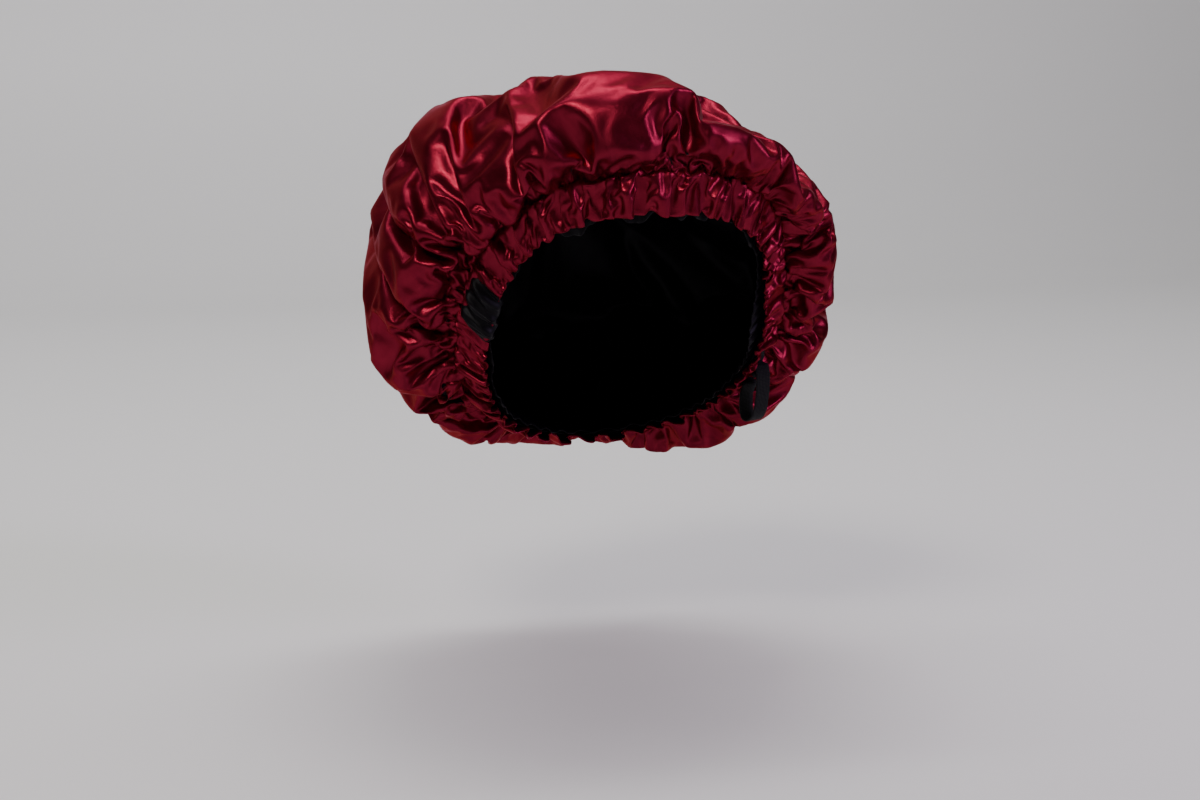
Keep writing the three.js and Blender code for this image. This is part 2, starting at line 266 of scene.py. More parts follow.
def satin_material(name, dark, light, edge, metallic, roughness, gloss, sheen, sheen_tint):
    """Satin: a tinted gloss over a dyed ground, stretched across the floats of the weave."""
    material = bpy.data.materials.new(name)
    material.use_nodes = True
    tree = material.node_tree
    shader = tree.nodes["Principled BSDF"]
    shader.inputs["Metallic"].default_value = metallic
    shader.inputs["Anisotropic"].default_value = 0.45
    shader.inputs["Specular Tint"].default_value = (*edge, 1)
    shader.inputs["Specular IOR Level"].default_value = gloss
    shader.inputs["Sheen Weight"].default_value = sheen
    shader.inputs["Sheen Roughness"].default_value = 0.35
    shader.inputs["Sheen Tint"].default_value = (*sheen_tint, 1)
    cut = tree.nodes.new("ShaderNodeUVMap")
    cut.uv_map = "cut"
    tangent = tree.nodes.new("ShaderNodeTangent")
    tangent.direction_type, tangent.uv_map = "UV_MAP", "cut"
    tree.links.new(tangent.outputs["Tangent"], shader.inputs["Tangent"])
    stretch = tree.nodes.new("ShaderNodeMapping")
    stretch.inputs["Scale"].default_value = (0.35, 1.6, 1.0)
    tree.links.new(cut.outputs["UV"], stretch.inputs["Vector"])
    floats = add_node(tree, "ShaderNodeTexNoise", Scale=1300.0, Detail=2.0, Roughness=0.6)
    tree.links.new(stretch.outputs["Vector"], floats.inputs["Vector"])
    slubs = add_node(tree, "ShaderNodeTexNoise", Scale=120.0, Detail=3.0)
    tree.links.new(stretch.outputs["Vector"], slubs.inputs["Vector"])
    base_colour = add_ramp(tree, slubs.outputs["Fac"], (0.3, dark), (0.7, light))
    tree.links.new(base_colour, shader.inputs["Base Color"])
    smoothest, roughest = roughness - FLOATS_SMOOTHER, roughness + FLOATS_ROUGHER
    tree.links.new(add_map(tree, floats.outputs["Fac"], smoothest, roughest), shader.inputs["Roughness"])
    bump = add_node(tree, "ShaderNodeBump", Strength=0.5, Distance=0.00014)
    tree.links.new(floats.outputs["Fac"], bump.inputs["Height"])
    tree.links.new(bump.outputs["Normal"], shader.inputs["Normal"])
    return material


def elastic_material():
    """Flat knitted elastic: matt ribs along the strap, with a finer cross knit, and painted shade darkening
    the valleys of the knit.
    """
    material = bpy.data.materials.new("elastic")
    material.use_nodes = True
    tree = material.node_tree
    shader = tree.nodes["Principled BSDF"]
    shader.inputs["Sheen Weight"].default_value = 0.02
    shader.inputs["Sheen Roughness"].default_value = 0.5
    shader.inputs["Specular IOR Level"].default_value = 0.12
    cut = tree.nodes.new("ShaderNodeUVMap")
    cut.uv_map = "cut"
    waves = []
    for direction, scale in (("Y", 260.0), ("X", 420.0)):
        wave = add_node(tree, "ShaderNodeTexWave", Scale=scale, Distortion=0.4)
        wave.bands_direction = direction
        tree.links.new(cut.outputs["UV"], wave.inputs["Vector"])
        waves.append(wave.outputs["Fac"])
    knit = tree.nodes.new("ShaderNodeMath")
    knit.operation = "MULTIPLY"
    tree.links.new(waves[0], knit.inputs[0])
    tree.links.new(waves[1], knit.inputs[1])
    bump = add_node(tree, "ShaderNodeBump", Strength=0.7, Distance=0.0003)
    tree.links.new(knit.outputs["Value"], bump.inputs["Height"])
    tree.links.new(bump.outputs["Normal"], shader.inputs["Normal"])
    # Painted shade: the colour follows the knit's height, darker in its valleys and lighter on its ribs.
    valley_shade, rib = (0.002, 0.002, 0.0025), (0.009, 0.0085, 0.01)
    base_colour = add_ramp(tree, knit.outputs["Value"], (0.0, valley_shade), (1.0, rib))
    tree.links.new(base_colour, shader.inputs["Base Color"])
    tree.links.new(add_map(tree, knit.outputs["Value"], 0.8, 0.6), shader.inputs["Roughness"])
    return material


# ---------------------------------------------------------------------------------------------
# Meshes
# ---------------------------------------------------------------------------------------------
def new_object(name, vertices, faces, material=None, uv=None):
    """A smooth mesh object. uv holds each vertex's place on the cut cloth, in metres."""
    mesh = bpy.data.meshes.new(name)
    mesh.from_pydata([tuple(v) for v in vertices], [], [tuple(face) for face in faces])
    mesh.shade_smooth()
    if material:
        mesh.materials.append(material)
    if uv is not None:
        loops = np.empty(len(mesh.loops), int)
        mesh.loops.foreach_get("vertex_index", loops)
        mesh.uv_layers.new(name="cut").data.foreach_set("uv", np.asarray(uv)[loops].ravel())
    made = bpy.data.objects.new(name, mesh)
    bpy.context.collection.objects.link(made)
    return made


def subdivide(vertices, triangles, uv):
    """Each triangle in four, smoothed by Loop's rule; the open edge stays a smooth line of its own."""
    sides = np.sort(np.concatenate([triangles[:, [0, 1]], triangles[:, [1, 2]], triangles[:, [2, 0]]]), 1)
    opposite = np.concatenate([triangles[:, 2], triangles[:, 0], triangles[:, 1]])
    edges, which = np.unique(sides, axis=0, return_inverse=True)
    which = which.ravel()
    across = np.zeros((len(edges), 3))
    np.add.at(across, which, vertices[opposite])
    inside = np.bincount(which) == 2
    a, b = vertices[edges[:, 0]], vertices[edges[:, 1]]
    middles = np.where(inside[:, None], 0.375 * (a + b) + 0.125 * across, 0.5 * (a + b))
    around, count = np.zeros_like(vertices), np.zeros(len(vertices))
    rim_around, on_rim = np.zeros_like(vertices), np.zeros(len(vertices))
    for near, far in ((0, 1), (1, 0)):
        np.add.at(around, edges[:, near], vertices[edges[:, far]])
        np.add.at(count, edges[:, near], 1)
        np.add.at(rim_around, edges[~inside, near], vertices[edges[~inside, far]])
        np.add.at(on_rim, edges[~inside, near], 1)
    beta = np.where(count > 3, 0.375 / np.maximum(count, 1), 0.1875)[:, None]
    moved = (1 - count[:, None] * beta) * vertices + beta * around
    moved = np.where((on_rim == 2)[:, None], 0.75 * vertices + 0.125 * rim_around, moved)
    first, second, third = (len(vertices) + which.reshape(3, -1))
    p, q, r = triangles.T
    quarters = ((p, first, third), (first, q, second), (third, second, r), (first, second, third))
    finer = np.concatenate([np.stack(quarter, 1) for quarter in quarters])
    return np.vstack([moved, middles]), finer, np.vstack([uv, (uv[edges[:, 0]] + uv[edges[:, 1]]) / 2])


def ring_faces(rows, columns, first=0):
    """Quads between rows of vertices that each go once round the opening."""
    faces = []
    for row in range(rows - 1):
        low, high = first + row * columns, first + (row + 1) * columns
        for k in range(columns):
            after = (k + 1) % columns
            faces.append((low + k, low + after, high + after, high + k))
    return faces


def disc_layout(rings):
    """Even disc of triangles, 6k vertices in ring k: share of the radius, angle, and faces."""
    radius, angle, starts = [0.0], [0.0], [0]
    for ring in range(1, rings + 1):
        starts.append(len(radius))
        for k in range(6 * ring):
            radius.append(ring / rings)
            angle.append(360.0 * k / (6 * ring))
    faces = [(0, 1 + k, 1 + (k + 1) % 6) for k in range(6)]
    for ring in range(2, rings + 1):
        inner, outer = starts[ring - 1], starts[ring]
        for side in range(6):
            for k in range(ring):
                a = outer + (side * ring + k) % (6 * ring)
                b = outer + (side * ring + k + 1) % (6 * ring)
                c = inner + (side * (ring - 1) + k) % (6 * (ring - 1))
                faces.append((a, b, c))
                if k < ring - 1:
                    faces.append((c, b, inner + (side * (ring - 1) + k + 1) % (6 * (ring - 1))))
    return np.array(radius), np.array(angle), faces


# ---------------------------------------------------------------------------------------------
# Puffs and gathers
# ---------------------------------------------------------------------------------------------
SEED = 11
# Each crease between two large puffs: its turn at the gather line, at station 0.2 and at 0.45.
CREASES = np.array([
    (-168, -168, -166), (-147, -147, -146), (-122, -126, -130), (-103, -108, -116), (-86, -98, -104),
    (-70, -84, -92), (-57, -66, -75), (-45, -55, -60), (-37, -46, -50), (-21, -27, -26), (-7, 1, 9),
    (10, 13, 17), (22, 27, 29), (46, 44, 40), (63, 57, 50), (76, 71, 64), (92, 88, 84), (108, 107, 106),
    (126, 128, 130), (145, 146, 148), (166, 167, 168),
], float)
CREASE_STATIONS = (0.0, 0.2, 0.45)
GATHERS_PER_PUFF = (1, 2, 3)
PUFF_HEIGHTS = (0.34, 0.40, 0.55)  # in widths, one for each level
PUFF_STATIONS = ((0.30, 0.26), (0.09, 0.08), (0.0, 0.05))  # middle and spread of each level
PUFF_LIMIT = 11.0
PUFF_SINK = 0.62  # share of a puff's height that its creases lie under the even form
CREASE_JITTER = 0.15  # share of a small gather's width
CROSS_HEIGHT = 14.0
CROSS_COUNT, CROSS_SIZES, CROSS_PHASE = 14, (9, 20), 6.3
CROSS_RISE = 0.25  # station where the cross folds have their full height
ALL_ROUND = 999  # degrees, so wide that it is nearly even all the way round
# Where the worn cap sags or bulges past the even form: turn, degrees, station, share of the section, mm.
SAGS = [
    (43, 26, 0.42, 0.2, -18), (68, 14, 0.46, 0.15, -12), (3, 16, 0.43, 0.2, -22),
    (-30, 16, 0.43, 0.18, -17), (-78, 20, 0.46, 0.16, -22), (-112, 16, 0.46, 0.15, -17),
    (-12, 8, 0.4, 0.16, 6), (-112, 20, 0.24, 0.12, 12), (-140, 14, 0.19, 0.08, 8),
    (78, 13, 0.26, 0.12, -5), (0, ALL_ROUND, 0.84, 0.24, 15),
]


def crease_levels():
    """The crease paths, and the same with each puff split in two and in three for the small gathers."""
    rng = np.random.default_rng(SEED)
    levels = []
    after = np.vstack([CREASES[1:], CREASES[:1] + 360])
    for parts in GATHERS_PER_PUFF:
        shares = []
        for step in range(parts):
            jitter = rng.uniform(-CREASE_JITTER, CREASE_JITTER, (len(CREASES), 1)) * (step > 0)
            shares.append((step + jitter) / parts)
        levels.append(np.stack([CREASES + (after - CREASES) * share for share in shares], 1).reshape(-1, 3))
    return levels


LEVELS = crease_levels()
GATHERS = LEVELS[-1]


def puff_place(paths, turn, station):
    """At one station: each turn's share of the way through its puff, the puff's width and its number."""
    at = np.array([np.interp(station, CREASE_STATIONS, path) for path in paths])
    knots = np.concatenate([at, [at[0] + 360]])
    wrapped = (turn - knots[0]) % 360 + knots[0]
    number = np.clip(np.searchsorted(knots, wrapped, side="right") - 1, 0, len(paths) - 1)
    width = knots[number + 1] - knots[number]
    return (wrapped - knots[number]) / width, width, number


def puff_lift(turn, station, out):
    """Height in mm of puffs and gathers at one station, where the cloth is out mm from the axis."""
    lift = np.zeros(turn.shape)
    for paths, (middle, spread), height in zip(LEVELS, PUFF_STATIONS, PUFF_HEIGHTS):
        share, width, _ = puff_place(paths, turn, station)
        tall = PUFF_LIMIT * np.tanh(height * np.radians(width) * out / PUFF_LIMIT)
        lift += bell(station, middle, spread) * tall * (1 - (2 * share - 1) ** 2 - PUFF_SINK)
    return lift


def cross_folds(turn, station):
    """Broad uneven bumps over the top, from slack along the sections."""
    rng = np.random.default_rng(SEED + 1)
    u = np.radians(turn)
    x, y = (1 - station) * np.cos(u), (1 - station) * np.sin(u)
    bumps = np.zeros(turn.shape)
    for _ in range(CROSS_COUNT):
        way, size = rng.uniform(0, 2 * math.pi), rng.uniform(*CROSS_SIZES)
        bumps += np.sin(size * (x * math.cos(way) + y * math.sin(way)) + rng.uniform(0, CROSS_PHASE)) / size
    return CROSS_HEIGHT * bumps * np.clip(station / CROSS_RISE, 0, 1)


# ---------------------------------------------------------------------------------------------
# The crown: a flat disc of cloth, drawn in to the stitches by cloth simulation
# ---------------------------------------------------------------------------------------------
RINGS = 72
CUT_SLACK = 1.03
EDGE_DRAW = 0.85
DRAW_FROM, DRAW_OVER = 0.45, 0.55  # shares of the radius
PATTERN_STEPS = 400
SETTLE_FRAMES = 50
GATHER_FRAMES = 35
# Settings of Blender's Cloth. HOLD, CREST and TOP are pin weights, and GAP is in metres.
SIM_QUALITY = 5
SIM_MASS = 0.12
SIM_TENSION = 20
SIM_SHEAR = 5
SIM_BEND = 15.0
SIM_PRESSURE = 2.0
SIM_GRAVITY = 0.01
SIM_HOLD = 0.03
SIM_CREST = 0.25
SIM_TOP = 0.1
SIM_AIR = 3.0
SIM_DAMPING, SIM_BEND_DAMPING = 6, 0.5
SIM_GAP = 0.0012
SIM_LOOSE = 0.93  # share of the radius past which the crowded edge doesn't collide
# Stations: the middle and spread of the held crests, and the start and end of the held top.
CREST_SPREAD, CREST_BAND = 0.16, (0.36, 0.26)
TOP_BAND = (0.6, 0.85)


def ring_row(ring):
    return slice(1 + 3 * ring * (ring - 1), 1 + 3 * ring * (ring + 1))


def out_of(point):
    return np.linalg.norm(np.cross(point - AXIS_FOOT, AXIS), axis=1)


def flat_pattern(radius, angle):
    """The cloth's own lengths, in mm: each section with some slack, drawn in at the edge like a bowl."""
    length = round_lookup(SECTION_LENGTHS, angle) * CUT_SLACK
    share = np.linspace(0, 1, PATTERN_STEPS + 1)
    slope = 1 - EDGE_DRAW * np.clip((share - DRAW_FROM) / DRAW_OVER, 0, 1)
    across = np.concatenate([[0], np.cumsum((slope[1:] + slope[:-1]) / 2) / PATTERN_STEPS])
    down = np.concatenate([[0], np.cumsum(np.sqrt(1 - slope[1:] ** 2)) / PATTERN_STEPS])
    reach, drop = np.interp(radius, share, across) * length, np.interp(radius, share, down) * length
    return to_space(angle, np.stack([reach, POLE_AT - drop], 1))


def gathered_form(radius, angle):
    """The worn form with its large puffs, in mm: the goal that the cloth is drawn towards."""
    station = 1 - radius
    point, _, _, normal = cloth_frame(angle, station)
    out = out_of(point)
    lift = cross_folds(angle, station)
    for turn, turn_spread, at, spread, sag in SAGS:
        lift += sag * bell(turn_gap(angle, turn), 0, turn_spread) * bell(station, at, spread)
    for ring in range(1, RINGS + 1):
        row = ring_row(ring)
        lift[row] += puff_lift(angle[row], 1 - ring / RINGS, out[row])
    return point + normal * lift[:, None]


def hold_weights(angle, radius):
    """How firmly each vertex is held to the form: the crests of the puffs are, the creases are free."""
    hold = np.full(len(angle), SIM_HOLD)
    for ring in range(1, RINGS):
        row, station = ring_row(ring), 1 - ring / RINGS
        share, _, _ = puff_place(CREASES, angle[row], station)
        hold[row] += SIM_CREST * bell(share, 0.5, CREST_SPREAD) * bell(station, *CREST_BAND)
        hold[row] += SIM_TOP * smooth_step(*TOP_BAND, station)
    return np.where(radius > 0.999, 1.0, hold)


def settle(cloth, goal, hold, loose, bend, pressure, gap):
    """Draw the flat cloth in to the goal, frame by frame. Vertices in loose don't collide."""
    mesh = cloth.data
    cloth.shape_key_add(name="Basis")
    key = cloth.shape_key_add(name="gathered")
    key.data.foreach_set("co", goal.ravel())
    for value, at in ((0, 1), (1, 1 + GATHER_FRAMES)):
        key.value = value
        key.keyframe_insert("value", frame=at)
    pin = cloth.vertex_groups.new(name="pin")
    for k, weight in enumerate(hold.tolist()):
        pin.add([k], weight, "REPLACE")
    edge = cloth.vertex_groups.new(name="edge")
    edge.add(np.flatnonzero(loose).tolist(), 1.0, "REPLACE")
    modifier = cloth.modifiers.new("cloth", "CLOTH")
    settings = modifier.settings
    settings.quality = SIM_QUALITY
    settings.mass = SIM_MASS
    settings.air_damping = SIM_AIR
    settings.tension_stiffness = settings.compression_stiffness = SIM_TENSION
    settings.shear_stiffness = SIM_SHEAR
    settings.bending_stiffness = bend
    settings.tension_damping = settings.compression_damping = settings.shear_damping = SIM_DAMPING
    settings.bending_damping = SIM_BEND_DAMPING
    settings.vertex_group_mass = "pin"
    settings.use_pressure = True
    settings.uniform_pressure_force = pressure
    settings.effector_weights.gravity = SIM_GRAVITY
    collide = modifier.collision_settings
    collide.use_self_collision = True
    collide.self_distance_min = gap
    collide.vertex_group_self_collisions = "edge"
    collide.use_collision = False
    modifier.point_cache.frame_start, modifier.point_cache.frame_end = 1, SETTLE_FRAMES
    scene = bpy.context.scene
    scene.frame_start, scene.frame_end = 1, SETTLE_FRAMES
    for step in range(1, SETTLE_FRAMES + 1):
        scene.frame_set(step)
    seen = cloth.evaluated_get(bpy.context.evaluated_depsgraph_get()).data
    settled = np.empty(3 * len(seen.vertices))
    seen.vertices.foreach_get("co", settled)
    cloth.modifiers.clear()
    mesh.shape_keys.animation_data_clear()
    cloth.shape_key_clear()
    mesh.vertices.foreach_set("co", settled)
    mesh.update()
    scene.frame_set(1)
    return settled.reshape(-1, 3)


def settled_crown():
    """The crown's cloth as it settles: places in metres, triangles, places on the cut disc, and turns."""
    radius, angle, faces = disc_layout(RINGS)
    flat, goal = flat_pattern(radius, angle) * MM, gathered_form(radius, angle) * MM
    reach = radius * round_lookup(SECTION_LENGTHS, angle) * CUT_SLACK * MM
    u = np.radians(angle)
    cut = np.stack([reach * np.cos(u), reach * np.sin(u)], 1)
    cloth = new_object("cloth", flat, faces)
    hold = hold_weights(angle, radius)
    shape = settle(cloth, goal, hold, radius > SIM_LOOSE, SIM_BEND, SIM_PRESSURE, SIM_GAP)
    bpy.data.objects.remove(cloth)
    return shape, np.array(faces), cut, angle


def make_crown(shape, triangles, cut, material):
    """The settled cloth, subdivided once."""
    vertices, finer, uv = subdivide(shape, triangles, cut)
    return new_object("crown_satin", vertices, finer.tolist(), material, uv)


# ---------------------------------------------------------------------------------------------
# The channel: the same cloth past the stitches, ruffled over the elastic, with a slot for the loop
# ---------------------------------------------------------------------------------------------
CHANNEL_COLUMNS = 330
CHANNEL_SHARES = np.linspace(0, 1.06, 9)
CHANNEL_FULLNESS = 2.2
CHANNEL_DEPTH = 1.25
CHANNEL_HOLD = 0.02
CHANNEL_EDGE_HOLD = 0.6
CHANNEL_BEND = 2.0
CHANNEL_PRESSURE = 1.5
CHANNEL_GAP = 0.0012
CHANNEL_LOWEST = 2.0
UNDER_ROLL = 3.0  # how high it may stand under the rolled-out lining
# Behind the fold at the edge: mm back under the outer face, and mm back up the channel.
TURN_UNDER = [(0.7, -0.35), (1.5, 0.3), (1.9, 2.0), (2.0, 4.0)]
# The slot: its turn, its share of the width, and its half sizes and distance from the axis in mm.
SLOT_TURN, SLOT_AT, SLOT_HALF, SLOT_OUT = 109.0, 0.54, (7.5, 4.4), 90.0
SLOT_HOLE = 0.35  # the grid within this share of the slot is left out before it is warped
RUFFLE_DEPTH = (1.1, 2.4)
RUFFLE_OVERHANG = 0.12
CHANNEL_FLOOR = 1.9
CHANNEL_SWELL = 0.8
LOWEST_ROUNDING = 0.3  # mm squared
UV_RADIUS = 0.26  # metres of cloth for each radian of turn
UV_STEP, UV_STITCH = 0.001, 0.0006
FINE_RUFFLE, EDGE_RUFFLE = 0.35, 0.35
FINE_RATE, FINE_SHIFT = 2.5, 0.618  # waves in each gather, and how far the next one's are shifted
# How a ruffle shifts from the stitches to the edge: degrees, the turn where it is most, and spread.
LEANS = [(5.0, -30, 45), (-3.0, 60, 40)]
STITCH_PULL, STITCH_LINE = 1.2, (0.08, 0.06)  # mm, and the share of the width with its spread


def gather_numbers():
    """For each small gather: depth in mm, lean of its crest, and reach of its petal below the edge."""
    rng = np.random.default_rng(SEED + 2)
    count = len(GATHERS)
    return rng.uniform(*RUFFLE_DEPTH, count), rng.uniform(0.7, 1.9, count), rng.uniform(0.03, 0.14, count)


RUFFLE_DEPTHS, RUFFLE_LEANS, PETALS = gather_numbers()


def lean_degrees(turn):
    """Degrees that a ruffle shifts from the stitches to the edge, most of all at the front."""
    return sum(degrees * bell(turn_gap(turn, at), 0, spread) for degrees, at, spread in LEANS)


def ruffled(turn, share):
    """Points of the channel's outer face, in mm, at a share of its width."""
    leant = turn - lean_degrees(turn) * share
    place, width, number = puff_place(GATHERS, leant, 0.0)
    wave = place - 0.5
    depth, lean, petal = RUFFLE_DEPTHS[number], RUFFLE_LEANS[number], PETALS[number]
    ends = np.minimum(place, 1 - place)
    near, far = (number - 1) % len(GATHERS), (number + 1) % len(GATHERS)
    other = np.where(place < 0.5, near, far)
    blend = 0.5 * (1 - smooth_step(0, 0.5, ends))
    depth = depth * (1 - blend) + RUFFLE_DEPTHS[other] * blend
    lean = lean * (1 - blend) + RUFFLE_LEANS[other] * blend
    grown = smooth_step(0.0, 0.3, share)
    crest = np.cos(2 * math.pi * wave)
    x, y = slot_place(turn, share)
    gap = np.hypot(x / SLOT_HALF[0], y / SLOT_HALF[1])
    calm = smooth_step(0.9, 2.2, gap)
    station = -share * (1 + petal * crest * smooth_step(0.45, 1.0, share))
    point, round_way, _, normal = cloth_frame(turn, station)
    width_mm = np.radians(width) * out_of(point)
    start = puff_lift(turn, 0.0, out_of(smooth_cloth(turn, 0.0)))
    fine = np.cos(2 * math.pi * (FINE_RATE * place + number * FINE_SHIFT)) * FINE_RUFFLE
    spread = 1 + EDGE_RUFFLE * smooth_step(0.6, 1.0, share)
    ruffle = depth * (crest + fine * smooth_step(0, 0.2, ends)) * calm * spread
    swell = CHANNEL_FLOOR + depth * calm + CHANNEL_SWELL * np.sin(math.pi * np.clip(share, 0, 1))
    swell = swell - STITCH_PULL * bell(share, *STITCH_LINE)
    lift = start * (1 - grown) + (ruffle + swell) * grown
    lie = np.tanh(-turn_gap(turn, 15) / 12)
    slide = (RUFFLE_OVERHANG * width_mm * np.sin(4 * math.pi * wave) + lie * lean * ruffle) * grown * calm
    return point + normal * lift[:, None] + round_way * slide[:, None]


def slot_place(turn, share):
    """Mm round the opening and across the channel from the middle of the slot."""
    return np.radians(turn_gap(turn, SLOT_TURN)) * SLOT_OUT, (share - SLOT_AT) * CHANNEL_WIDTH


def slot_warp(turn, share):
    """Spread the cloth away from the middle of the slot, so that its hole has an even edge."""
    x, y = slot_place(turn, share)
    gap = np.hypot(x / SLOT_HALF[0], y / SLOT_HALF[1])
    scale = np.where(gap < 2, (1 + gap / 2) / np.maximum(gap, 1e-6), 1)
    return SLOT_TURN + turn_gap(turn, SLOT_TURN) * scale, SLOT_AT + (share - SLOT_AT) * scale, gap


def channel_flat(turn, share):
    """The channel's cloth before it is drawn in: a wider and deeper ring."""
    along = CHANNEL_DEPTH * CHANNEL_WIDTH * (1 - share)[:, None] * CHANNEL_WAY
    return to_space(turn, round_lookup(RIM_TABLE, turn) * (CHANNEL_FULLNESS, 1) + along)


def make_channel(material):
    columns, rows = CHANNEL_COLUMNS, len(CHANNEL_SHARES)
    turn, share = np.tile(np.arange(columns) * 360 / columns, rows), np.repeat(CHANNEL_SHARES, columns)
    uv = np.stack([np.radians(turn) * UV_RADIUS, -share * CHANNEL_WIDTH * MM], 1)
    turn, share, gap = slot_warp(turn, share)
    keep = gap > SLOT_HOLE
    faces = np.array([face[::-1] for face in ring_faces(rows, columns) if all(keep[k] for k in face)])
    shape = ruffled(turn, share) * MM
    cloth = new_object("channel_cloth", channel_flat(turn, share) * MM, faces)
    hold = CHANNEL_HOLD + CHANNEL_EDGE_HOLD * smooth_step(0.8, 1.0, share)
    shape = settle(cloth, shape, np.where(share < 0.001, 1.0, hold), share < 0.1, CHANNEL_BEND,
                   CHANNEL_PRESSURE, CHANNEL_GAP)
    bpy.data.objects.remove(cloth)
    point, _, along, normal = cloth_frame(turn, -share)
    lift = ((shape / MM - point) * normal).sum(1)
    short = CHANNEL_LOWEST * smooth_step(0, 0.15, share) - lift
    raised = MM * 0.5 * (short + np.sqrt(short**2 + LOWEST_ROUNDING)) * smooth_step(0, 0.1, share)
    shape = shape + normal * raised[:, None]
    over = np.maximum(lift - UNDER_ROLL, 0) * rolled_out(turn)
    shape = shape - normal * (MM * over)[:, None]
    grid = [np.arange(columns) + row * columns for row in range(rows)]
    first = [shape[grid[0]] + (along[grid[0]] * 0.6 - normal[grid[0]]) * MM]
    rim = grid[-1]
    last = [shape[rim] + (along[rim] * up - normal[rim] * under) * MM for under, up in TURN_UNDER]
    vertices = np.vstack([shape] + last + first)
    ends = [face[::-1] for face in ring_faces(len(TURN_UNDER) + 1, columns, (rows - 1) * columns)]
    top = len(vertices) - columns
    ends += [(k, (k + 1) % columns, top + (k + 1) % columns, top + k) for k in range(columns)]
    quads = np.concatenate([faces, np.array(ends)])
    steps = np.array([(0, UV_STEP * k) for k in range(1, len(last) + 1)])
    hidden = np.repeat(uv[rim][None], len(last), 0) - steps[:, None]
    uv = np.vstack([uv, hidden.reshape(-1, 2), uv[grid[0]] + (0, UV_STITCH)])
    triangles = np.concatenate([quads[:, [0, 1, 2]], quads[:, [0, 2, 3]]])
    for _ in range(2):
        vertices, triangles, uv = subdivide(vertices, triangles, uv)
    piece = new_object("channel_satin", vertices, triangles.tolist(), material, uv)
    tidy_loose(piece)
    return piece


def tidy_loose(piece):
    """Delete vertices that no face uses."""
    edit = bmesh.new()
    edit.from_mesh(piece.data)
    bmesh.ops.delete(edit, geom=[v for v in edit.verts if not v.link_faces], context="VERTS")
    edit.to_mesh(piece.data)
    edit.free()


# ---------------------------------------------------------------------------------------------
# The lining: a second cloth inside the crown, and its band behind the channel
# ---------------------------------------------------------------------------------------------
LINING_GAP = 1.1
# Where the black edge shows past the burgundy one: turn, half width in degrees, mm.
PEEKS = [(-26, 5, 6.0), (-8, 4, 6.0), (6, 3, 4.0), (13, 2.5, 4.2), (80, 17, 9.0), (-98, 7, 3.0),
         (-55, 4, 2.0), (128, 9, 4.0), (40, 5, 2.5), (150, 8, 3.0), (-130, 9, 3.0), (-165, 9, 3.0)]
ROLL_TURN, ROLL_HALF = -75.0, 9.5
# Section of the lining's band, as share of the width and lift in mm: tucked in, and rolled outwards.
BAND_TUCKED = [(0.06, -1.6), (0.2, -1.6), (0.35, -1.5), (0.5, -1.4), (0.65, -1.3), (0.78, -1.1), (0.86, -0.9),
               (0.91, -0.8), (0.95, -0.8), (0.96, -1.2), (0.93, -1.7), (0.87, -2.1), (0.78, -2.3),
               (0.55, -2.6), (0.3, -2.9), (0.08, -3.1)]
BAND_ROLLED = [(0.06, -1.6), (0.25, -1.6), (0.5, -1.4), (0.8, -1.1), (1.02, -0.8), (1.13, 0.8), (1.12, 3.2),
               (1.0, 5.2), (0.8, 6.2), (0.58, 6.4), (0.36, 5.8), (0.2, 4.6), (0.14, 3.0),
               (0.12, 2.4), (0.1, 1.8), (0.08, 1.2)]


def rolled_out(turn):
    """1 where the lining is rolled out over the channel, 0 where it is tucked in."""
    return smooth_step(ROLL_HALF + 3.0, ROLL_HALF - 2.5, np.abs(turn_gap(turn, ROLL_TURN)))


def band_point(turn, tucked, rolled):
    """Points of one row of the lining's band, in mm, from its place tucked in and rolled out."""
    roll = rolled_out(turn)
    peek = 0.6 + sum(reach * bell(turn_gap(turn, at), 0, half) for at, half, reach in PEEKS)
    reach = smooth_step(0.7, 1.0, tucked[0]) * peek / CHANNEL_WIDTH
    share = (tucked[0] + reach) * (1 - roll) + rolled[0] * roll
    lift = tucked[1] * (1 - roll) + rolled[1] * roll
    place, _, number = puff_place(GATHERS, turn + 1.5, 0.0)
    crest = np.cos(2 * math.pi * (place - 0.5))
    fine = np.cos(2 * math.pi * (place * 3 + number * 0.37))
    ruffle = (0.7 + 0.7 * roll) * crest + (0.25 + 0.6 * roll) * fine
    ruffle = ruffle + 0.8 * roll * np.sin(0.9 * turn + 7 * share)
    edge = smooth_step(0.7, 1.0, tucked[0]) * (1 - roll)
    share = share + 0.035 * crest * edge
    grown = smooth_step(0.0, 0.3, tucked[0])
    point, _, _, normal = cloth_frame(turn, -share)
    start = puff_lift(turn, 0.0, out_of(smooth_cloth(turn, 0.0)))
    return point + normal * (lift + ruffle * grown + start * (1 - grown))[:, None]


def vertex_normals(vertices, triangles):
    """Each vertex's normal, weighted by the areas of its triangles."""
    corners = vertices[triangles]
    facing = np.cross(corners[:, 1] - corners[:, 0], corners[:, 2] - corners[:, 0])
    normals = np.zeros_like(vertices)
    for corner in range(3):
        np.add.at(normals, triangles[:, corner], facing)
    return unit(normals)


